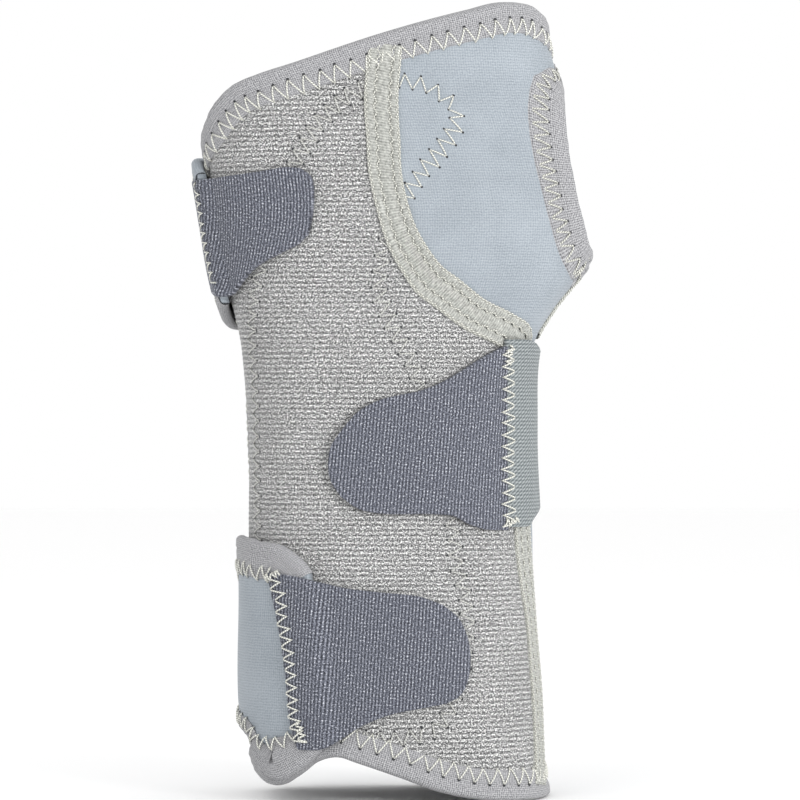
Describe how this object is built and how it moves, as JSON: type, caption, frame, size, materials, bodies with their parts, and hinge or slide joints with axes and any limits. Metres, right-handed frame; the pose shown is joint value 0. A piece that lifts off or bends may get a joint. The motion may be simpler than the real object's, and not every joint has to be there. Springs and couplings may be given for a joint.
{
  "type": "wrist splint",
  "caption": "Left wrist splint: an open-sided neoprene sleeve with a thumb hole, closed over the back of the hand by hook straps and stiffened by bent stays.",
  "frame": {"origin": "middle of the overall box, on the surface that the forearm end stands on", "axes": "+Z from the forearm to the fingers, -Y out of the back of the hand, +X to the thumb side"},
  "size_m": [0.102, 0.0602, 0.201],
  "materials": {
    "knit": "heather grey looped knit laminated to foam",
    "neoprene": "foam rubber faced with smooth pale blue-grey nylon jersey",
    "tape": "ribbed grey binding tape",
    "thread": "cream polyester flatlock thread",
    "hook": "slate grey woven hook tape",
    "elastic": "pale aqua-grey twill elastic",
    "metal": "bare rolled sheet",
    "lining": "dark brushed tricot"
  },
  "bodies": {
    "root": {"loop_panel": "knit", "thumb_gusset": "neoprene", "palm_panel": "neoprene", "hand_strap_base": "neoprene", "forearm_strap_base": "neoprene", "hand_binding": "tape", "forearm_binding": "tape", "thumb_binding": "tape", "back_slit_binding": "tape", "palm_slit_binding": "tape", "main_seam": "thread", "thumb_side_seam": "thread", "wrist_strap_base": "elastic", "back_stay": "metal", "back_pocket_lining": "lining", "palm_pocket_lining": "lining"},
    "hand_strap": {"hand_flap": "neoprene", "hand_flap_binding": "tape", "hand_hook_tab": "hook"},
    "wrist_strap": {"wrist_elastic": "elastic", "wrist_hook_tab": "hook"},
    "forearm_strap": {"forearm_flap": "neoprene", "forearm_flap_binding": "tape", "forearm_hook_tab": "hook"},
    "palm_stay": {"palm_stay": "metal"}
  },
  "joints": [
    {"name": "hand_strap_open", "type": "hinge", "parent": "root", "child": "hand_strap", "pos_m": [-0.04729, -0.00205, 0.14115], "axis": [0.1926, 0.0642, -0.9792], "range_deg": [0, 150]},
    {"name": "wrist_strap_open", "type": "hinge", "parent": "root", "child": "wrist_strap", "pos_m": [0.04001, 0.00055, 0.093], "axis": [0, 0, 1], "range_deg": [0, 150]},
    {"name": "forearm_strap_open", "type": "hinge", "parent": "root", "child": "forearm_strap", "pos_m": [-0.04069, 0.00105, 0.035], "axis": [0, 0, -1], "range_deg": [0, 150]},
    {"name": "palm_stay_slide", "type": "hinge", "parent": "root", "child": "palm_stay", "pos_m": [0.00081, -1.07085, 0], "axis": [1, 0, 0], "range_deg": [0, 8]}
  ]
}
